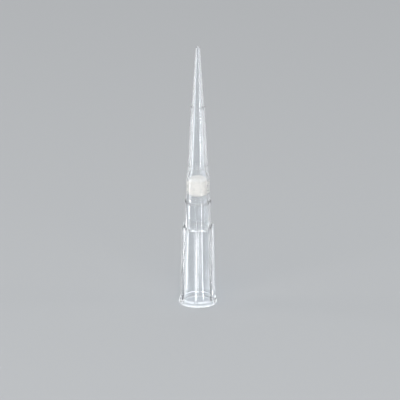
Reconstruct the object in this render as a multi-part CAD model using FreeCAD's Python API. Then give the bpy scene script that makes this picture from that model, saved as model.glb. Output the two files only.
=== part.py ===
import FreeCAD, Part
import math
import os

# Filter pipette tip in the 200 microlitre form, standing on its collar with the delivery end up.
# Millimetres. z = 0 is the collar's rim and +Z runs along the axis to the delivery end.
# Two pieces: the shell, one clear polypropylene moulding, and the porous plug pressed into its bore.
# The shell is turned from one half section: cones that widen in steps from the delivery end to the
# socket, with a wall of 0.2 mm at the end and 0.4 to 0.55 mm nearly everywhere else, as a moulding needs.
# Six lofted ribs then stiffen the socket, which a pipette's cone pushes open.

# ---------------------------------------------------------------- driving dimensions
# Heights above the rim at which the outside changes
COLLAR_TOP = 1.05
SHOULDER = 15.4             # top of the socket's wall, where the ribs end square
CHAMBER_STEP = 20.4         # ledge under the filter chamber
FLARE_FOOT, FLARE_TOP = 25.0, 26.15
RING_2 = 27.4               # graduation rings, where the bore holds about 50 and 10 microlitres
RING_1 = 38.7
LENGTH = 50.0

# Outside radii, each pair from the upper to the lower end of one stretch
NOZZLE_R = (0.435, 1.17)    # delivery end to ring 1
BARREL_R = (1.335, 1.875)   # ring 1 to ring 2
NECK_R = (1.89, 1.90)       # ring 2 to the flare
CHAMBER_R = (2.21, 2.22)    # flare to the chamber step
LOWER_BARREL_R = (2.425, 2.475)
SOCKET_WALL_R = (2.75, 3.17)
COLLAR_R = 3.57

# Rings: each ledge carries a low raised band, which slopes back to the wall under it
RING_1_R = 1.365
RING_2_R = 1.96
CHAMBER_RING_R = 2.495
RING_BAND = 0.35
RING_RUNOUT = 0.12

# Bore radii, from the delivery end down
ORIFICE_R = 0.23
RING_1_BORE_R = 0.78
RING_2_BORE_R = 1.325
FLARE_BORE_R = 1.38
SEAT_R = (1.72, 1.76)       # the plug's seat, at its upper and lower end
LOWER_BORE_R = (2.02, 2.08)
SOCKET_BORE_R = 2.33        # upper end of the socket
LAND_R = 2.60               # parallel sealing land that presses onto a pipette's cone
MOUTH_BORE_R = 2.75
MOUTH_R = 3.05

# Heights at which the bore changes and the outside doesn't, upper end first
LEAD_IN = (20.3, 19.9)      # funnel that guides the plug into its seat
SOCKET_END = (15.1, 14.7)   # funnel between the lower barrel and the socket
LAND = (8.0, 5.5)
MOUTH_FUNNEL = 0.9

# Ribs
RIB_COUNT = 6
RIB_WIDTH = (0.76, 0.68)    # at its root and its crest: the flanks have draft, to leave the mould
RIB_CREST_R = (3.16, 3.51)  # at the shoulder and at the collar's top
RIB_ROOT_DEPTH = 0.2        # how far a rib's blank reaches into the wall, to join it all over

# Plug
PLUG_TOP, PLUG_FOOT = 24.9, 21.5
PLUG_BEVEL = 0.25           # lets it slide into the funnel, either end first

# Corners of the shell
SHARP = 0
COLLAR_ROUND = 0.3          # upper edge of the collar
RIM_BEVEL = 0.2             # lower edge of the collar
RIB_ROUND = 0.12
END_BEVEL = 0.08            # thins the delivery end, so that a drop lets go cleanly

ORIGIN = FreeCAD.Vector(0, 0, 0)
AXIS = FreeCAD.Vector(0, 0, 1)


# ---------------------------------------------------------------- outlines
def corner_arc(before, here, after, radius):
    """Start, middle and end of the arc that is tangent to both sides of a corner."""
    back = (before - here).normalize()
    ahead = (after - here).normalize()
    half_angle = back.getAngle(ahead) / 2
    reach = radius / math.tan(half_angle)
    inwards = (back + ahead).normalize()
    middle = here + inwards * (radius / math.sin(half_angle) - radius)
    return here + back * reach, middle, here + ahead * reach


def outline(corners):
    """A closed flat wire through corners given as (point, corner radius)."""
    points = [point for point, radius in corners]
    stops = []
    for i, (point, radius) in enumerate(corners):
        if radius == SHARP:
            stops.append([point])
        else:
            following = points[(i + 1) % len(points)]
            stops.append(corner_arc(points[i - 1], point, following, radius))
    edges = []
    for i, stop in enumerate(stops):
        if len(stop) > 1:
            edges.append(Part.Arc(*stop).toShape())
        next_stop = stops[(i + 1) % len(stops)]
        edges.append(Part.LineSegment(stop[-1], next_stop[0]).toShape())
    return Part.Wire(edges)


def turned(corners):
    """The solid that a half section turns into, from corners given as (radius, height, corner radius)."""
    section = outline([(FreeCAD.Vector(r, 0, z), rounding) for r, z, rounding in corners])
    return Part.Face(section).revolve(ORIGIN, AXIS, 360)


def on_cone(radii, heights, height):
    """The radius of a cone at a height, from its radii at two other heights."""
    share = (height - heights[0]) / (heights[1] - heights[0])
    return radii[0] + share * (radii[1] - radii[0])


# ---------------------------------------------------------------- shell
def ring(radius, ledge, wall_radius):
    """Corners of a raised ring from its ledge down, and the corner where the wall under it starts."""
    foot = ledge - RING_BAND
    return [(radius, ledge, SHARP), (radius, foot, SHARP), (wall_radius, foot - RING_RUNOUT, SHARP)]


def outside():
    """Corners of the shell's outside, from the delivery end down to the rim."""
    return [
        (NOZZLE_R[0] - END_BEVEL, LENGTH, SHARP),
        (NOZZLE_R[0], LENGTH - END_BEVEL, SHARP),
        (NOZZLE_R[1], RING_1, SHARP),
        *ring(RING_1_R, RING_1, BARREL_R[0]),
        (BARREL_R[1], RING_2, SHARP),
        *ring(RING_2_R, RING_2, NECK_R[0]),
        (NECK_R[1], FLARE_TOP, SHARP),
        (CHAMBER_R[0], FLARE_FOOT, SHARP),
        (CHAMBER_R[1], CHAMBER_STEP, SHARP),
        *ring(CHAMBER_RING_R, CHAMBER_STEP, LOWER_BARREL_R[0]),
        (LOWER_BARREL_R[1], SHOULDER, SHARP),
        (SOCKET_WALL_R[0], SHOULDER, SHARP),
        (SOCKET_WALL_R[1], COLLAR_TOP, SHARP),
        (COLLAR_R, COLLAR_TOP, COLLAR_ROUND),
        (COLLAR_R, RIM_BEVEL, SHARP),
        (COLLAR_R - RIM_BEVEL, 0, SHARP),
    ]


def bore():
    """Corners of the bore, from the rim up to the orifice."""
    return [
        (MOUTH_R, 0, SHARP),
        (MOUTH_BORE_R, MOUTH_FUNNEL, SHARP),
        (LAND_R, LAND[1], SHARP),
        (LAND_R, LAND[0], SHARP),
        (SOCKET_BORE_R, SOCKET_END[1], SHARP),
        (LOWER_BORE_R[1], SOCKET_END[0], SHARP),
        (LOWER_BORE_R[0], LEAD_IN[1], SHARP),
        (SEAT_R[1], LEAD_IN[0], SHARP),
        (SEAT_R[0], FLARE_FOOT, SHARP),
        (FLARE_BORE_R, FLARE_TOP, SHARP),
        (RING_2_BORE_R, RING_2, SHARP),
        (RING_1_BORE_R, RING_1, SHARP),
        (ORIFICE_R, LENGTH, SHARP),
    ]


def rib_section(height):
    """Section of a rib along +X: a trapezoid from inside the wall out to a crest with round edges."""
    span = (SHOULDER, COLLAR_TOP)
    root_r = on_cone(SOCKET_WALL_R, span, height) - RIB_ROOT_DEPTH
    crest_r = on_cone(RIB_CREST_R, span, height)
    root, crest = RIB_WIDTH[0] / 2, RIB_WIDTH[1] / 2
    return outline([
        (FreeCAD.Vector(root_r, -root, height), SHARP),
        (FreeCAD.Vector(crest_r, -crest, height), RIB_ROUND),
        (FreeCAD.Vector(crest_r, crest, height), RIB_ROUND),
        (FreeCAD.Vector(root_r, root, height), SHARP),
    ])


def ribs():
    """All the ribs, evenly spaced with one of them on -Y. Each is lofted from inside the collar up."""
    foot = rib_section(COLLAR_TOP / 2)
    top = rib_section(SHOULDER)
    blank = Part.makeLoft([foot, top], True, True)
    copies = []
    for i in range(RIB_COUNT):
        copy = blank.copy()
        copy.rotate(ORIGIN, AXIS, i * 360 / RIB_COUNT - 90)
        copies.append(copy)
    return copies


def tip_body():
    """The whole moulding."""
    return turned(outside() + bore()).fuse(ribs()).removeSplitter()


# ---------------------------------------------------------------- plug
def filter_plug():
    """The porous plug, which fills a length of its tapering seat."""
    seat_heights = (FLARE_FOOT, LEAD_IN[0])
    top, foot = PLUG_TOP - PLUG_BEVEL, PLUG_FOOT + PLUG_BEVEL
    top_r = on_cone(SEAT_R, seat_heights, top)
    foot_r = on_cone(SEAT_R, seat_heights, foot)
    return turned([
        (0, PLUG_TOP, SHARP),
        (top_r - PLUG_BEVEL, PLUG_TOP, SHARP),
        (top_r, top, SHARP),
        (foot_r, foot, SHARP),
        (foot_r - PLUG_BEVEL, PLUG_FOOT, SHARP),
        (0, PLUG_FOOT, SHARP),
    ])


# ---------------------------------------------------------------- output
def bore_volume(height):
    """Microlitres that the bore holds from the orifice down to one of its corners."""
    total = 0
    corners = [(r, z) for r, z, rounding in bore() if z >= height]
    for (lower_r, lower_z), (upper_r, upper_z) in zip(corners, corners[1:]):
        total += math.pi * (upper_z - lower_z) * (lower_r ** 2 + lower_r * upper_r + upper_r ** 2) / 3
    return total


os.makedirs("parts", exist_ok=True)
for name, shape in (("tip_body", tip_body()), ("filter_plug", filter_plug())):
    shape.exportStep(f"parts/{name}.step")
    box = shape.optimalBoundingBox()
    print(f"{name}: {len(shape.Solids)} solid, valid {shape.isValid()}, {shape.Volume:.2f} mm3, "
          f"z {box.ZMin:.2f} to {box.ZMax:.2f}, {box.XLength:.2f} across")
print(f"bore volume: {bore_volume(RING_1):.1f} microlitres to ring 1, {bore_volume(RING_2):.1f} to ring 2")
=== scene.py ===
# %% [markdown]
# # A clear filter pipette tip
#
# A filter tip is two things: one thin clear moulding of polypropylene, and a white porous plug that is
# pushed up into it. The moulding does nearly everything by its shape. It is turned round one axis, it
# widens in small steps, and six ribs stiffen the end that grips the pipette.
#
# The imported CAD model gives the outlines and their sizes. The cells below read it, build a finer mesh of
# each piece with Geometry Nodes, give the pieces their finishes, and light them on a plain pale floor.
# The number of ribs, and what is finer than the CAD mesh, such as roundings and beads, is given here.

import math

import bmesh
import bpy
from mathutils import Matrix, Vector
from mathutils.bvhtree import BVHTree


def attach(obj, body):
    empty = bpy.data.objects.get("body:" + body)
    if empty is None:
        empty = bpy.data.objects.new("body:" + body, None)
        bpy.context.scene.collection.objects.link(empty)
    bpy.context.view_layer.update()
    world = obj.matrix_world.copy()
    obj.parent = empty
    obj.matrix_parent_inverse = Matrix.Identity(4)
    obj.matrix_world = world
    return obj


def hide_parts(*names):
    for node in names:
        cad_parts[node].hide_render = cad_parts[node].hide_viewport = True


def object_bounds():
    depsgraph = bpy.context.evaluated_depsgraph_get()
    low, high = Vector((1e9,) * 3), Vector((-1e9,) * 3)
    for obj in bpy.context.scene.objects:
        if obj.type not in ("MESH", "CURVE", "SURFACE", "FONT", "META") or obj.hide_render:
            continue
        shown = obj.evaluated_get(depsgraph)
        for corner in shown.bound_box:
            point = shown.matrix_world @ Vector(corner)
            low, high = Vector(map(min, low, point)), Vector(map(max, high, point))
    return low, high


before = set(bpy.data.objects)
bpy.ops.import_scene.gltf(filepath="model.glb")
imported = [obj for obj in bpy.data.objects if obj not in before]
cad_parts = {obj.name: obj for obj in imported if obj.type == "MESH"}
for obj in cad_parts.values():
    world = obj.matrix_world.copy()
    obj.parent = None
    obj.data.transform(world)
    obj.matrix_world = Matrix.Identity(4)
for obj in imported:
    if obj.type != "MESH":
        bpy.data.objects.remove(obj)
cad_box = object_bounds()
MM = 0.001
WELD = 0.0001 * MM          # points closer than this are one point
print("nodes:", sorted(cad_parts))

# %% [markdown]
# ## The section of the moulding
#
# A turned shape is all in its half section, the outline that a saw would show on one side of the axis.
# It could be typed in again as a list of radii, but then two files could disagree. Instead a copy of
# the CAD mesh is cut by a plane through the axis, halfway between two ribs, and the cut's corners are
# put in order: up the outside first, then down the bore. The CAD mesh is loose triangles, so its copy
# is merged before the cut.

# %% Cut the half section
def merged_copy(node):
    """A bmesh of a CAD node with its loose triangles joined."""
    copy = bmesh.new()
    copy.from_mesh(node.data)
    bmesh.ops.remove_doubles(copy, verts=copy.verts, dist=WELD)
    return copy


def half_section(solid):
    """Corners of the section on the +X side, as vectors (radius, height), outside first."""
    copy = solid.copy()
    everything = [*copy.verts, *copy.edges, *copy.faces]
    cut = bmesh.ops.bisect_plane(copy, geom=everything, dist=WELD, plane_co=(0, 0, 0), plane_no=(0, 1, 0))
    neighbours = {}
    for edge in cut["geom_cut"]:
        if isinstance(edge, bmesh.types.BMEdge) and edge.verts[0].co.x + edge.verts[1].co.x > 0:
            for near, far in (edge.verts, reversed(edge.verts)):
                neighbours.setdefault(near, []).append(far)
    start = min(neighbours, key=lambda corner: (round(corner.co.z / WELD), -corner.co.x))
    loop = [start, max(neighbours[start], key=lambda corner: corner.co.x)]
    while loop[-1] is not start:
        loop.append([corner for corner in neighbours[loop[-1]] if corner is not loop[-2]][0])
    return [Vector((corner.co.x, corner.co.z)) for corner in loop[:-1]]


def without_straight_points(points):
    """The same loop, without the points that lie on the line between their neighbours."""
    kept = []
    for before, here, after in zip([points[-1]] + points, points, points[1:] + [points[0]]):
        along = (after - before).normalized()
        away = (here - before) - along * (here - before).dot(along)
        if away.length > WELD:
            kept.append(here)
    return kept


moulding = merged_copy(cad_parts["tip_body"])
corners = without_straight_points(half_section(moulding))
print(len(corners), "corners of the section:")
print([(round(corner.x / MM, 3), round(corner.y / MM, 3)) for corner in corners])

# %% [markdown]
# ## What the ribs measure
#
# The ribs aren't in that section, so they are felt with rays, as a gauge would feel them. The longest
# straight side of the section is the socket's wall, which carries them. One rib stands on -Y: a ray
# towards the axis finds its crest, and a ray from the side finds its flank. Two readings of each give
# the crest's taper and the flank's draft, the slight slope that lets a moulding leave its mould.

# %% Feel one rib
OUTSIDE = 10 * MM           # from the axis to where the rays start, clear of the tip
CREST_AT = (0.1, 0.9)       # the crest is felt at these shares of the socket wall's height
FLANK_AT = (0.2, 0.5)       # and the flank at these shares of the rib's height
RIB_COUNT = 6               # evenly spaced, as in the CAD model

surface = BVHTree.FromBMesh(moulding)
sides = list(zip(corners, corners[1:] + corners[:1]))
wall_foot, wall_top = max(sides, key=lambda side: (side[1] - side[0]).length)


def on_line(start, end, share):
    """The value that lies a share of the way from start to end, or beyond them."""
    return start + (end - start) * share


def extended(shares, readings, share):
    """What two readings, taken at two shares, say for another share."""
    return on_line(*readings, (share - shares[0]) / (shares[1] - shares[0]))


def crest_radius(height):
    """How far out the rib on -Y reaches at a height."""
    readings = []
    for share in CREST_AT:
        level = on_line(wall_foot.y, wall_top.y, share)
        readings.append(-surface.ray_cast(Vector((0, -OUTSIDE, level)), Vector((0, 1, 0)))[0].y)
    return extended(CREST_AT, readings, (height - wall_foot.y) / (wall_top.y - wall_foot.y))


def flank_reading(share):
    """Half the rib's width at a share of the way from the wall to the crest, halfway up the socket."""
    middle = (wall_foot + wall_top) / 2
    radius = on_line(middle.x, crest_radius(middle.y), share)
    return surface.ray_cast(Vector((OUTSIDE, -radius, middle.y)), Vector((-1, 0, 0)))[0].x


flank = [flank_reading(share) for share in FLANK_AT]
root_width = 2 * extended(FLANK_AT, flank, 0.0)
crest_width = 2 * extended(FLANK_AT, flank, 1.0)
rib_height = crest_radius((wall_foot.y + wall_top.y) / 2) - (wall_foot.x + wall_top.x) / 2
print(f"rib: crest at {crest_radius(wall_top.y) / MM:.3f} mm at the top and "
      f"{crest_radius(wall_foot.y) / MM:.3f} mm at the foot, {root_width / MM:.3f} mm wide at its root, "
      f"{crest_width / MM:.3f} mm at its crest, about {rib_height / MM:.3f} mm high")

# %% [markdown]
# ## Two templates
#
# The shell is drawn by two templates: its half section, and the outline across one rib, from the middle
# of one gap to the middle of the next. Both are lines of points, so both go into one mesh of edges, and
# each point carries attributes that say how it is used:
#
# - *corner_round* is the radius that a mould leaves on that corner: 0.05 mm on a ledge, more on a soft
#   bend, none where the points already follow an arc.
# - *rib_depth* is how deep the rib's root lies under the surface: nothing on the socket's wall, more at
#   the foot, where the ribs run out over the collar's round edge.
# - *rib_height* is how far the rib's crest stands out from its root, and nothing where no ribs are.
# - *even_share* says how the columns of faces are spread: crowded along the ribs at the socket's
#   outside, and evenly everywhere else.
# - *across_rib* tells the second template from the first.
#
# Long sides of the section get extra points. Two lie close to each corner, so that the smooth shading
# of its rounding doesn't leak over the flat beside it.

# %% Points of the half section
LEDGE_ROUND = 0.05 * MM
BEND_ROUND = 0.4 * MM
LEDGE_TURN = math.radians(30)   # a corner that turns by more than this is a ledge's
ARC_SIDE = 0.06 * MM        # a side as short as this belongs to an arc
GUARD = 0.11 * MM           # from a corner to the row of faces that guards it
LONGEST_ROW = 1.1 * MM      # how far apart two rows of points may be


def corner_round(before, here, after):
    """The radius that a mould leaves on a corner."""
    if min((here - before).length, (after - here).length) < ARC_SIDE:
        return 0.0
    turn = (here - before).angle(after - here)
    return LEDGE_ROUND if turn > LEDGE_TURN else BEND_ROUND


def told_corners(corners):
    """Corners as (radius, height, corner round, rib depth, rib height, even share)."""
    top = corners.index(wall_top)
    told = []
    for i, here in enumerate(corners):
        depth, rib = 0.0, 0.0
        above_rim = here.y > wall_foot.y / 2    # the collar's lower edge has no ribs
        if i <= top and above_rim and here.x < crest_radius(here.y):
            root = min(here.x, wall_foot.x)
            depth = here.x - root
            rib = crest_radius(here.y) - root
        rounding = corner_round(corners[i - 1], here, corners[(i + 1) % len(corners)])
        if rib > 0 and i < top:
            rounding = 0.0      # the ribs' feet and the collar meet in a plain corner
        even = 0.0 if i <= top + 1 else 1.0
        told.append(Vector((here.x, here.y, rounding, depth, rib, even)))
    return told


def with_guards(told):
    """The same loop with extra points along its long sides."""
    rows = []
    for here, after in zip(told, told[1:] + told[:1]):
        rows.append(here)
        length = (after - here).to_2d().length
        if length > 3 * GUARD:
            steps = math.ceil((length - 2 * GUARD) / LONGEST_ROW)
            for step in range(steps + 1):
                between = here.lerp(after, (GUARD + (length - 2 * GUARD) * step / steps) / length)
                between[2] = 0.0        # only corners are rounded
                rows.append(between)
    return rows


section_rows = with_guards(told_corners(corners))
print(len(section_rows), "points round the section")

# %% Points across one rib
CREST_ROUND = 0.12 * MM     # as in the CAD model
ROOT_ROUND = 0.09 * MM      # only here: the CAD model's ribs meet the wall in a plain corner
GAP_LENGTH = 1.0 * MM       # stands for however much wall lies between two ribs
root_reach = root_width / 2 + ROOT_ROUND

# Each point is (sideways, up, corner round). One half runs from the middle of the gap to the crest.
half_outline = [
    Vector((root_reach + GAP_LENGTH, 0, 0)),
    Vector((root_width / 2, 0, ROOT_ROUND)),
    Vector((crest_width / 2, rib_height, CREST_ROUND)),
]
rib_points = [Vector((-x, y, rounding)) for x, y, rounding in half_outline] + half_outline[::-1]
print(len(rib_points), "points across one rib")

# %% Put both templates in one mesh
def template_mesh(section_rows, rib_points):
    """The section in the XZ plane as a closed loop, and the outline across a rib as an open line."""
    points = [(row[0], 0, row[1]) for row in section_rows] + [(x, 0, y) for x, y, rounding in rib_points]
    loop = len(section_rows)
    edges = [(i, (i + 1) % loop) for i in range(loop)]
    edges += [(i, i + 1) for i in range(loop, len(points) - 1)]
    mesh = bpy.data.meshes.new("templates")
    mesh.from_pydata(points, edges, [])
    flat = [0.0] * len(rib_points)
    told = {
        "corner_round": [row[2] for row in section_rows] + [rounding for x, y, rounding in rib_points],
        "rib_depth": [row[3] for row in section_rows] + flat,
        "rib_height": [row[4] for row in section_rows] + flat,
        "even_share": [row[5] for row in section_rows] + flat,
        "across_rib": [0.0] * loop + [1.0] * len(rib_points),
    }
    for name, values in told.items():
        mesh.attributes.new(name, "FLOAT", "POINT").data.foreach_set("value", values)
    return mesh


templates = template_mesh(section_rows, rib_points)
print(len(templates.vertices), "points and", len(templates.edges), "edges in the templates")

# %% [markdown]
# ## The tree that turns the shell
#
# A Screw modifier would turn the section, and the ribs could be pushed into it as six more solids. In
# clear plastic that would show, because light bends again at every surface hidden inside. So the shell
# is made as one skin. One sixth of it is a grid of points: a row for each point of the section, and a
# column for each point across a rib. The tree works out where each belongs, then copies the sixth round
# the axis and joins the copies. Geometry Nodes suit this, because one rule places every point.

# %% Helpers for node trees
def add_node(tree, kind, inputs=None, **settings):
    """Add a node. An input takes a value or another node's output. Returns the node's outputs."""
    node = tree.nodes.new(kind)
    for name, value in settings.items():
        setattr(node, name, value)
    for key, value in (inputs or {}).items():
        if isinstance(value, bpy.types.NodeSocket):
            tree.links.new(value, node.inputs[key])
        else:
            node.inputs[key].default_value = value
    return node.outputs


def maths(tree, operation, *values):
    """Add a Math node that works on the values, and return its output."""
    return add_node(tree, "ShaderNodeMath", dict(enumerate(values)), operation=operation)[0]


def whole_maths(tree, operation, *values):
    """The same for whole numbers."""
    return add_node(tree, "FunctionNodeIntegerMath", dict(enumerate(values)), operation=operation)[0]


def mixed(tree, share, start, end, **settings):
    """Add a Mix node for two numbers, which are its inputs 2 and 3, and return its output."""
    return add_node(tree, "ShaderNodeMix", {0: share, 2: start, 3: end}, **settings)[0]


def attribute(tree, name):
    """Add a node that gives a named attribute, and return its output."""
    return add_node(tree, "GeometryNodeInputNamedAttribute", {"Name": name})[0]


def read_at(tree, geometry, value, index, **settings):
    """Add a node that reads a value at one point of a geometry, and return its output."""
    inputs = {"Geometry": geometry, "Value": value, "Index": index}
    return add_node(tree, "GeometryNodeSampleIndex", inputs, **settings)[0]


def new_geometry_tree(name, inputs):
    """A tree that takes a mesh and the named inputs and gives a mesh. Returns it and what it is given."""
    tree = bpy.data.node_groups.new(name, "GeometryNodeTree")
    for input_name, kind in {"Mesh": "Geometry", **inputs}.items():
        tree.interface.new_socket(input_name, in_out="INPUT", socket_type="NodeSocket" + kind)
    tree.interface.new_socket("Mesh", in_out="OUTPUT", socket_type="NodeSocketGeometry")
    return tree, add_node(tree, "NodeGroupInput")


# %% Start the tree: round the corners of both templates
tree, given = new_geometry_tree("turned shell with ribs", {
    "Rib Count": "Int",
    "Rib Height": "Float",
    "Root Reach": "Float",
    "Gap Length": "Float",
    "Longest Step": "Float",
    "Corner Steps": "Int",
    "Weld Distance": "Float",
    "Material": "Material",
})
lines = add_node(tree, "GeometryNodeMeshToCurve", {"Mesh": given["Mesh"]})[0]
rounded = add_node(tree, "GeometryNodeFilletCurve", {
    "Curve": lines,
    "Count": given["Corner Steps"],
    "Radius": attribute(tree, "corner_round"),
    "Limit Radius": True,
}, mode="POLY")[0]
across = attribute(tree, "across_rib")
outline, section = add_node(tree, "GeometryNodeSeparateGeometry", {"Geometry": rounded, "Selection": across})

# %% Cut the long sides of the rib's outline into steps
place = add_node(tree, "GeometryNodeInputPosition")[0]
index = add_node(tree, "GeometryNodeInputIndex")[0]
after = whole_maths(tree, "ADD", index, 1)
next_place = add_node(
    tree, "GeometryNodeFieldAtIndex", {"Value": place, "Index": after}, data_type="FLOAT_VECTOR")[0]
side = add_node(tree, "ShaderNodeVectorMath", {0: place, 1: next_place}, operation="DISTANCE")["Value"]
cuts = maths(tree, "DIVIDE", side, given["Longest Step"])
outline = add_node(tree, "GeometryNodeSubdivideCurve", {"Curve": outline, "Cuts": cuts})[0]

# %% Lay out a grid with a column for each point of the outline and a row for each of the section
# One more row lies on the first, to close the section. The two are merged at the end.
column_count = add_node(tree, "GeometryNodeAttributeDomainSize", {0: outline}, component="CURVE")[0]
row_count = add_node(tree, "GeometryNodeAttributeDomainSize", {0: section}, component="CURVE")[0]
closed_rows = whole_maths(tree, "ADD", row_count, 1)
grid = add_node(tree, "GeometryNodeMeshGrid", {"Vertices X": column_count, "Vertices Y": closed_rows})[0]
column = whole_maths(tree, "DIVIDE", index, closed_rows)
grid_row = whole_maths(tree, "MODULO", index, closed_rows)
row = whole_maths(tree, "MODULO", grid_row, row_count)

# %% Read the templates at every point of the grid
turned = read_at(tree, section, place, row, data_type="FLOAT_VECTOR")
radius, _, height = add_node(tree, "ShaderNodeSeparateXYZ", {0: turned})
depth = read_at(tree, section, attribute(tree, "rib_depth"), row)
rib = read_at(tree, section, attribute(tree, "rib_height"), row)
even = read_at(tree, section, attribute(tree, "even_share"), row)
outlined = read_at(tree, outline, place, column, data_type="FLOAT_VECTOR")
sideways, _, rise = add_node(tree, "ShaderNodeSeparateXYZ", {0: outlined})

# %% Find each column's angle from the middle of its rib
# Near the rib a column runs parallel to the rib's middle, so its angle comes from an arcsine.
# In the gap the columns share what is left of the sixth.
half_sixth = maths(tree, "DIVIDE", math.pi, given["Rib Count"])
off_middle = maths(tree, "ABSOLUTE", sideways)
near_rib = maths(tree, "MINIMUM", off_middle, given["Root Reach"])
near_share = maths(tree, "DIVIDE", near_rib, radius)
near_angle = maths(tree, "ARCSINE", near_share)
reach_share = maths(tree, "DIVIDE", given["Root Reach"], radius)
reach_angle = maths(tree, "ARCSINE", reach_share)
gap_angle = maths(tree, "SUBTRACT", half_sixth, reach_angle)
past_rib = maths(tree, "SUBTRACT", off_middle, near_rib)
gap_share = maths(tree, "DIVIDE", past_rib, given["Gap Length"])
rib_angle = maths(tree, "MULTIPLY_ADD", gap_share, gap_angle, near_angle)
side_sign = maths(tree, "SIGN", sideways)
crowded_angle = maths(tree, "MULTIPLY", rib_angle, side_sign)

# %% Spread the columns evenly where even_share asks for it
last_column = whole_maths(tree, "SUBTRACT", column_count, 1)
even_angle = add_node(
    tree, "ShaderNodeMapRange",
    {"Value": column, "From Max": last_column, "To Min": -1.0, "To Max": 1.0})[0]
even_angle = maths(tree, "MULTIPLY", even_angle, half_sixth)
angle = mixed(tree, even, crowded_angle, even_angle)

# %% Put each point on the wall, then lift the rib's points to its flat crest
# A rib's side starts at its root. Over the collar the root lies inside the plastic, so there the point
# is whichever of the two lies further out, and the rib runs out where it meets the round edge.
cosine = maths(tree, "COSINE", angle)
sine = maths(tree, "SINE", angle)
wall_x = maths(tree, "MULTIPLY", radius, cosine)
wall_y = maths(tree, "MULTIPLY", radius, sine)
root = maths(tree, "SUBTRACT", radius, depth)
root_x = maths(tree, "MULTIPLY", root, cosine)
crest_x = maths(tree, "ADD", root, rib)
lift = maths(tree, "DIVIDE", rise, given["Rib Height"])
has_rib = maths(tree, "GREATER_THAN", rib, 0.0)
lift = maths(tree, "MULTIPLY", lift, has_rib)
rib_x = mixed(tree, lift, root_x, crest_x, clamp_factor=False)
x = maths(tree, "MAXIMUM", wall_x, rib_x)
point = add_node(tree, "ShaderNodeCombineXYZ", {"X": x, "Y": wall_y, "Z": height})[0]
sixth = add_node(tree, "GeometryNodeSetPosition", {"Geometry": grid, "Position": point})[0]

# %% Copy the sixth round the axis, with one rib on -Y, and join the copies into one skin
places = add_node(tree, "GeometryNodePoints", {"Count": given["Rib Count"]})[0]
turn = maths(tree, "MULTIPLY", half_sixth, 2.0)
turn = maths(tree, "MULTIPLY_ADD", index, turn, -math.pi / 2)
rotation = add_node(tree, "ShaderNodeCombineXYZ", {"Z": turn})[0]
copies = add_node(
    tree, "GeometryNodeInstanceOnPoints", {"Points": places, "Instance": sixth, "Rotation": rotation})[0]
real = add_node(tree, "GeometryNodeRealizeInstances", {0: copies})[0]
skin = add_node(
    tree, "GeometryNodeMergeByDistance", {"Geometry": real, "Distance": given["Weld Distance"]})[0]
smooth = add_node(tree, "GeometryNodeSetShadeSmooth", {"Geometry": skin})[0]
finished = add_node(
    tree, "GeometryNodeSetMaterial", {"Geometry": smooth, "Material": given["Material"]})[0]
add_node(tree, "NodeGroupOutput", {0: finished})
print("the shell's tree has", len(tree.nodes), "nodes")

# %% Grow the shell
def grown_piece(name, start_mesh, tree, sizes):
    """A new object whose plain mesh is what the tree makes of start_mesh with the named sizes."""
    piece = bpy.data.objects.new(name, start_mesh)
    bpy.context.scene.collection.objects.link(piece)
    grower = piece.modifiers.new(tree.name, "NODES")
    grower.node_group = tree
    for socket in tree.interface.items_tree:
        if socket.name in sizes:
            grower[socket.identifier] = sizes[socket.name]
    evaluated = piece.evaluated_get(bpy.context.evaluated_depsgraph_get())
    grown = bpy.data.meshes.new_from_object(evaluated)
    piece.modifiers.remove(grower)
    grown.name = name
    piece.data = grown
    triangles = sum(len(face.vertices) - 2 for face in grown.polygons)
    print(f"{name}: {len(grown.vertices)} points, {triangles} triangles")
    return piece


polypropylene = bpy.data.materials.new("natural polypropylene, injection moulded")
shell = grown_piece("clear_shell", templates, tree, {
    "Rib Count": RIB_COUNT,
    "Rib Height": rib_height,
    "Root Reach": root_reach,
    "Gap Length": GAP_LENGTH,
    "Longest Step": 0.1 * MM,
    "Corner Steps": 4,
    "Weld Distance": WELD,
    "Material": polypropylene,
})

# %% Check the shell against the CAD model
def check_against(reference, piece):
    """Print whether a skin is closed and faces outwards, and how far it strays from the CAD surface."""
    grown = bmesh.new()
    grown.from_mesh(piece.data)
    open_edges = sum(not edge.is_manifold for edge in grown.edges)
    strays = [reference.find_nearest(point.co)[3] for point in grown.verts]
    volume = grown.calc_volume(signed=True) / MM ** 3
    print(f"{piece.name}: {open_edges} open edges, volume {volume:.2f} mm3, "
          f"at most {max(strays) / MM:.3f} mm from the CAD surface")


check_against(surface, shell)
print("volume in the CAD model:", round(moulding.calc_volume(signed=True) / MM ** 3, 2), "mm3")

# %% [markdown]
# ## The porous plug
#
# The plug is sintered: small polyethylene beads are warmed in a mould until they just stick together.
# Its skin is therefore a pebbled one, made of bead tops with pits between them, and not a smooth
# cylinder. The CAD plug's outline is made into a volume and back into a fine even mesh, and a Voronoi
# pattern, whose cells are the beads, then pushes the mesh inwards between them. The real plug is pressed
# in, so its bead tops are drawn a hair into the wall, as a press fit is. That also joins what is seen of
# them: with a gap of air between, the clear wall would show the plug smaller than it is.

# %% The tree for a bed of beads
BEAD = 0.18 * MM            # across one bead
BEAD_DISORDER = 0.8
PIT_EDGE, PIT_MIDDLE = 0.35, 0.8    # distances from a bead's middle, in beads

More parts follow.
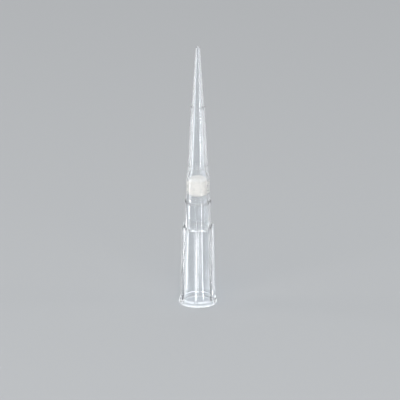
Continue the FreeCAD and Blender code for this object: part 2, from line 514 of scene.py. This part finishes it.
tree, given = new_geometry_tree("sintered beads", {
    "Voxel": "Float",
    "Skin": "Float",
    "Smoothing": "Int",
    "Bead Size": "Float",
    "Pit Depth": "Float",
    "Press In": "Float",
    "Material": "Material",
})
volume = add_node(
    tree, "GeometryNodeMeshToVolume",
    {"Mesh": given["Mesh"], "Voxel Size": given["Voxel"], "Interior Band Width": given["Skin"]},
    resolution_mode="VOXEL_SIZE")[0]
even_mesh = add_node(
    tree, "GeometryNodeVolumeToMesh", {"Volume": volume, "Voxel Size": given["Voxel"]},
    resolution_mode="VOXEL_SIZE")[0]
place = add_node(tree, "GeometryNodeInputPosition")[0]
worn = add_node(
    tree, "GeometryNodeBlurAttribute", {"Value": place, "Iterations": given["Smoothing"]},
    data_type="FLOAT_VECTOR")[0]
even_mesh = add_node(tree, "GeometryNodeSetPosition", {"Geometry": even_mesh, "Position": worn})[0]
normal = add_node(tree, "GeometryNodeInputNormal")[0]
cells = maths(tree, "DIVIDE", 1.0, given["Bead Size"])
off_bead = add_node(
    tree, "ShaderNodeTexVoronoi", {"Vector": place, "Scale": cells, "Randomness": BEAD_DISORDER})["Distance"]
pit = add_node(
    tree, "ShaderNodeMapRange",
    {"Value": off_bead, "From Min": PIT_EDGE, "From Max": PIT_MIDDLE, "To Max": given["Pit Depth"]},
    interpolation_type="SMOOTHSTEP")[0]
outwards = maths(tree, "SUBTRACT", given["Press In"], pit)
offset = add_node(tree, "ShaderNodeVectorMath", {0: normal, "Scale": outwards}, operation="SCALE")[0]
pebbled = add_node(tree, "GeometryNodeSetPosition", {"Geometry": even_mesh, "Offset": offset})[0]
smooth = add_node(tree, "GeometryNodeSetShadeSmooth", {"Geometry": pebbled})[0]
real = add_node(tree, "GeometryNodeRealizeInstances", {0: smooth})[0]
finished = add_node(tree, "GeometryNodeSetMaterial", {"Geometry": real, "Material": given["Material"]})[0]
add_node(tree, "NodeGroupOutput", {0: finished})
print("the plug's tree has", len(tree.nodes), "nodes")

# %% Grow the plug
polyethylene = bpy.data.materials.new("white polyethylene, sintered beads")
cad_plug = merged_copy(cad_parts["filter_plug"])
plug_mesh = bpy.data.meshes.new("plug outline")
cad_plug.to_mesh(plug_mesh)
plug = grown_piece("porous_plug", plug_mesh, tree, {
    "Voxel": 0.04 * MM,
    "Skin": 0.1 * MM,
    "Smoothing": 90,
    "Bead Size": BEAD,
    "Pit Depth": 0.06 * MM,
    "Press In": 0.05 * MM,
    "Material": polyethylene,
})
check_against(BVHTree.FromBMesh(cad_plug), plug)

# %% [markdown]
# ## Finish: clear polypropylene
#
# Natural polypropylene has no dye, but it isn't as clear as glass. Small crystals in it scatter a little
# light, so it has a faint cool veil. The mould's core and cavity were polished along their length, and the
# plastic is drawn off them the same way. That leaves very fine lines that run along the axis and make each
# reflection a little soft and streaky. A volume shader could make the veil, but it is slow and noisy in a
# wall this thin. So the veil is a little diffuse white in the shader, and the lines are a stretched noise.
# Lamps reach the plug through the wall: a ray on its way to a lamp goes straight through, a little dimmed.

# %% Helpers for colours and materials
def linear(hex_colour):
    """What a shader takes for an sRGB hex colour."""
    channels = [int(hex_colour[i:i + 2], 16) / 255 for i in (1, 3, 5)]
    channels = [c / 12.92 if c <= 0.04045 else ((c + 0.055) / 1.055) ** 2.4 for c in channels]
    return (*channels, 1.0)


def emptied_tree(owner):
    """The node tree of a material, a lamp or a world, without the nodes that Blender puts there."""
    owner.use_nodes = True
    owner.node_tree.nodes.clear()
    return owner.node_tree


# %% Natural polypropylene: clear with a faint veil, and lines along its length
DRAW_LINE = 0.4 * MM        # the real lines are about 0.01 mm wide, too fine to show
DRAW_RUN = 25 * MM
DRAW_DEPTH = 0.0001 * MM

tree = emptied_tree(polypropylene)
place = add_node(tree, "ShaderNodeTexCoord")["Object"]
stretched = add_node(
    tree, "ShaderNodeMapping", {"Vector": place, "Scale": (1 / DRAW_LINE, 1 / DRAW_LINE, 1 / DRAW_RUN)})[0]
draw_lines = add_node(tree, "ShaderNodeTexNoise", {"Vector": stretched, "Scale": 1.0, "Detail": 2.0})[0]
bump = add_node(
    tree, "ShaderNodeBump", {"Height": draw_lines, "Strength": 1.0, "Distance": DRAW_DEPTH})["Normal"]
gloss = add_node(tree, "ShaderNodeMapRange", {"Value": draw_lines, "To Min": 0.03, "To Max": 0.07})[0]
clear = add_node(tree, "ShaderNodeBsdfPrincipled", {
    "Base Color": linear("#F3F5F7"),
    "Roughness": gloss,
    "IOR": 1.49,
    "Transmission Weight": 0.95,
    "Normal": bump,
})[0]
straight_through = add_node(tree, "ShaderNodeBsdfTransparent", {"Color": linear("#E6EAEE")})[0]
to_lamp = add_node(tree, "ShaderNodeLightPath")["Is Shadow Ray"]
wall = add_node(tree, "ShaderNodeMixShader", {0: to_lamp, 1: clear, 2: straight_through})[0]
add_node(tree, "ShaderNodeOutputMaterial", {"Surface": wall})
print(polypropylene.name, "has", len(tree.nodes), "nodes")

# %% [markdown]
# ## Finish: sintered polyethylene
#
# The beads are white, quite matt, and the light that enters one leaves it by its neighbours. That takes most
# of the shadows out of the pits. The shade that is left there is painted into the colour: the pits are a
# slightly greyer white than the tops. The colour follows the same Voronoi cells as the mesh does, because
# both read the piece's own coordinates, so each patch of painted shade lies in a real pit.

# %% White polyethylene: matt beads, with painted shade that greys the pits
tree = emptied_tree(polyethylene)
place = add_node(tree, "ShaderNodeTexCoord")["Object"]
off_bead = add_node(
    tree, "ShaderNodeTexVoronoi",
    {"Vector": place, "Scale": 1 / BEAD, "Randomness": BEAD_DISORDER})["Distance"]
# painted shade: the further into a pit, the greyer the white, standing in for the shade that falls there
depth = add_node(
    tree, "ShaderNodeMapRange", {"Value": off_bead, "From Min": PIT_EDGE, "From Max": PIT_MIDDLE})[0]
colour = add_node(
    tree, "ShaderNodeMix", {0: depth, 6: linear("#EBE6DF"), 7: linear("#DDD8D1")}, data_type="RGBA")[2]
matt = add_node(
    tree, "ShaderNodeBsdfPrincipled", {"Base Color": colour, "Roughness": 0.85, "IOR": 1.5})[0]
add_node(tree, "ShaderNodeOutputMaterial", {"Surface": matt})
print(polyethylene.name, "has", len(tree.nodes), "nodes")

# %% [markdown]
# ## Floor
#
# The tip stands on a sheet of pale grey card. It is a plane with a matt material: big enough that no edge
# shows, and grey rather than white, so that white lines still show through and beside the clear wall. It
# lies a hair under the rim, because two surfaces in the same place flicker.

# %% Lay the floor
FLOOR_REACH = 2.0           # metres from the tip to each side of the card
FLOOR_GAP = 0.02 * MM

card = bpy.data.materials.new("pale grey card, matt")
tree = emptied_tree(card)
paper = add_node(tree, "ShaderNodeBsdfPrincipled", {"Base Color": linear("#C0C3C6"), "Roughness": 0.9})[0]
add_node(tree, "ShaderNodeOutputMaterial", {"Surface": paper})

floor_corners = [
    (x * FLOOR_REACH, y * FLOOR_REACH, -FLOOR_GAP) for x, y in ((-1, -1), (1, -1), (1, 1), (-1, 1))]
floor_mesh = bpy.data.meshes.new("floor")
floor_mesh.from_pydata(floor_corners, [], [(0, 1, 2, 3)])
floor_mesh.materials.append(card)
floor = bpy.data.objects.new("floor", floor_mesh)
bpy.context.scene.collection.objects.link(floor)
print("floor:", 2 * FLOOR_REACH, "m square")

# %% [markdown]
# ## Camera
#
# The camera looks a little down on the tip, nearly straight at the rib on -Y. It stands well back with a
# long lens, so that the tip's sides stay nearly parallel, and it aims a little under the tip's middle,
# which leaves more floor in front than behind.

# %% Place the camera
VIEW_TURN = 5.6             # degrees from straight in front, towards +X
VIEW_RISE = 17.5            # degrees up from level
VIEW_DISTANCE = 0.45        # metres from the tip's middle
AIM = Vector((0.4 * MM, 0, 20.4 * MM))


def direction(turn, rise):
    """A unit vector at so many degrees from +X round the axis, and so many up from level."""
    turn, rise = math.radians(turn), math.radians(rise)
    return Vector((math.cos(turn) * math.cos(rise), math.sin(turn) * math.cos(rise), math.sin(rise)))


optics = bpy.data.cameras.new("camera")
optics.lens = 216
optics.sensor_width = 36
camera = bpy.data.objects.new("camera", optics)
tip_middle = Vector((0, 0, cad_box[1].z / 2))
camera.location = tip_middle + direction(VIEW_TURN - 90, VIEW_RISE) * VIEW_DISTANCE
camera.rotation_euler = (AIM - camera.location).to_track_quat("-Z", "Y").to_euler()
bpy.context.scene.collection.objects.link(camera)
bpy.context.scene.camera = camera
print("camera at", [round(value, 3) for value in camera.location])

# %% [markdown]
# ## Soft boxes
#
# An even sky and four soft boxes make the plain light. The large one over the camera does most of it
# and models the plug. The ones at the sides light the plug's flanks. The one behind is low and thin: its
# light skims the ledges, and draws the shoulder as one bright line.

# %% Sky and soft boxes
BEHIND = 90 + VIEW_TURN     # the way the camera looks, in degrees from +X
BOX_DISTANCE = 1.0          # metres from the tip
SOFT_BOXES = (
    # name, degrees to the right of straight behind, degrees up, width and height in metres, radiance
    ("back soft box", 0, 13, 1.2, 0.12, 1.7),
    ("left soft box", -84, 25, 0.3, 0.6, 2.5),
    ("right soft box", 96, 25, 0.3, 0.6, 2.0),
    ("front soft box", 190, 34, 1.4, 0.4, 4.0),
)


def area_lamp(name, width, height, radiance):
    """A rectangular lamp with an even radiance, hidden from the camera. Returns its object."""
    lamp = bpy.data.lights.new(name, "AREA")
    lamp.shape = "RECTANGLE"
    lamp.size = width
    lamp.size_y = height
    lamp.energy = radiance * math.pi * width * height
    lit = bpy.data.objects.new(name, lamp)
    lit.visible_camera = False
    bpy.context.scene.collection.objects.link(lit)
    return lit


for name, right, rise, width, height, radiance in SOFT_BOXES:
    box = area_lamp(name, width, height, radiance)
    away = direction(BEHIND - right, rise)
    box.location = away * BOX_DISTANCE
    box.rotation_euler = (-away).to_track_quat("-Z", "Y").to_euler()

world = bpy.data.worlds.new("studio")
bpy.context.scene.world = world
tree = emptied_tree(world)
sky = add_node(tree, "ShaderNodeBackground", {"Color": linear("#FFFFFF"), "Strength": 0.5})[0]
add_node(tree, "ShaderNodeOutputWorld", {"Surface": sky})
bpy.context.scene.view_settings.view_transform = "Standard"
print(len(SOFT_BOXES), "soft boxes and the sky")

# %% [markdown]
# ## Light strips on the table
#
# A clear thing has no colour of its own. It shows only by what it bends and mirrors: its middle shows what
# is straight behind it, and its wall, nearer the outline, shows what is beside it. So strips of light are
# laid round it, and each draws its own line or band along the tip:
#
# - a narrow strip beside or in front is mirrored by the skin as a thin line
# - a wide strip behind, to one side, is bent into the wall there as a pale band
# - a band under the rim lights the collar from below
#
# How far a strip lies from the axis sets how high on the tip its line appears, because the camera looks
# down. The strips are all one lamp, which lies on the floor and faces up, and whose nodes let it shine
# only where a strip is. The camera and the floor don't see it, so the strips can lie in view and the floor
# still looks plain.

# %% Choose the strips
STRIPS = (
    # first and last degrees to the right of straight behind, fade in degrees, start and end in mm from
    # the axis, radiance
    (-99, -89, 3, 6, 350, 5.5),             # the line down the left
    (104, 116, 3, 90, 350, 4.5),            # the line on the right of the nozzle
    (146, 150, 2, 6, 76, 20.0),             # thin line right of the middle, under the plug
    (146, 150, 2, 73, 350, 20.0),           # the same line, over the plug
    (187, 195, 4, 6, 60, 9.0),              # the crest of the front rib
    (-52, -46, 3, 6, 60, 5.0),              # the left ribs
    (68, 74, 3, 6, 60, 6.0),                # the right ribs
    (-69.5, -16.5, 12, 6, 50, 0.5),         # the socket's wall, left and right
    (14.5, 60.5, 12, 6, 50, 0.4),
    (-16, -12, 2, 40, 78, 1.4),             # the lower barrel's wall, left and right
    (4.5, 65.5, 12, 40, 78, 0.2),
    (-69.5, -13.5, 6, 66, 350, 0.3),        # the barrel's and the nozzle's wall, left and right
    (-18.5, -13.5, 2.5, 66, 350, 0.8),
    (4.5, 65.5, 6, 66, 350, 0.3),
    (105, 255, 75, 1.2, 3.9, 0.5),          # the front of the collar, through its wall
)
STARTED_AT = 1.5                        # a strip has faded in at this many times its start
ENDING_AT = 0.8                         # and starts to fade out at this share of its end
RIM_BAND = (2.9 * MM, 3.9 * MM)         # the band under the rim, from the axis
RIM_FADE = 0.3 * MM
RIM_RADIANCE = 2.0
print(len(STRIPS), "strips and the band under the rim")

# %% Lay the lamp and let it shine only where a strip is
def smooth_step(tree, value, start, end, at_start, at_end):
    """A value that goes smoothly from at_start to at_end while another goes from start to end."""
    return add_node(
        tree, "ShaderNodeMapRange",
        {"Value": value, "From Min": start, "From Max": end, "To Min": at_start, "To Max": at_end},
        interpolation_type="SMOOTHSTEP")[0]


def strip_glow(tree, around, away, strip):
    """How brightly one strip shines, given the angle round the axis and the distance from it."""
    first, last, fade, start, end, radiance = strip
    middle = math.radians(BEHIND - (first + last) / 2)
    half_width = math.radians(last - first) / 2
    half_fade = math.radians(fade) / 2
    off = maths(tree, "SUBTRACT", around, middle)
    off = maths(tree, "WRAP", off, math.tau, 0.0)
    off = maths(tree, "PINGPONG", off, math.pi)     # from the strip's middle, whichever way is shorter
    glow = smooth_step(tree, off, half_width - half_fade, half_width + half_fade, radiance, 0.0)
    begun = smooth_step(tree, away, start * MM, STARTED_AT * start * MM, 0.0, 1.0)
    not_ended = smooth_step(tree, away, ENDING_AT * end * MM, end * MM, 1.0, 0.0)
    glow = maths(tree, "MULTIPLY", glow, begun)
    return maths(tree, "MULTIPLY", glow, not_ended)


def band_glow(tree, away):
    """How brightly the band under the rim shines."""
    inner, outer = RIM_BAND
    begun = smooth_step(tree, away, inner, inner + RIM_FADE, 0.0, RIM_RADIANCE)
    not_ended = smooth_step(tree, away, outer, outer + RIM_FADE, 1.0, 0.0)
    return maths(tree, "MULTIPLY", begun, not_ended)


table_size = 2 * MM * max(end for first, last, fade, start, end, radiance in STRIPS)
light_table = area_lamp("light strips", table_size, table_size, 1.0)
light_table.location = (0, 0, -FLOOR_GAP / 2)
light_table.rotation_euler = (math.pi, 0, 0)    # an area lamp shines down, so it is turned over
light_table.visible_diffuse = False
tree = emptied_tree(light_table.data)
place = add_node(tree, "ShaderNodeNewGeometry")["Position"]
x, y, _ = add_node(tree, "ShaderNodeSeparateXYZ", {0: place})
around = maths(tree, "ARCTAN2", y, x)
away = add_node(tree, "ShaderNodeVectorMath", {0: place}, operation="LENGTH")["Value"]
total = band_glow(tree, away)
for strip in STRIPS:
    glow = strip_glow(tree, around, away, strip)
    total = maths(tree, "ADD", total, glow)
light = add_node(tree, "ShaderNodeEmission", {"Strength": total})[0]
add_node(tree, "ShaderNodeOutputLight", {0: light})
print(f"the lamp is {table_size:.1f} m across and has {len(tree.nodes)} nodes")

# %% [markdown]
# ## Put the pieces on the body
#
# Nothing moves on a pipette tip, so both pieces ride on the one body of the CAD model. Each is hung on that
# body, and the CAD solid that it is built from is hidden.

# %% Attach each piece to the body and hide its CAD solid
PIECES = (
    (shell, "tip_body", "clear_polypropylene"),
    (plug, "filter_plug", "porous_polyethylene"),
)
for piece, node, slot in PIECES:
    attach(piece, "root")
    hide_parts(node)
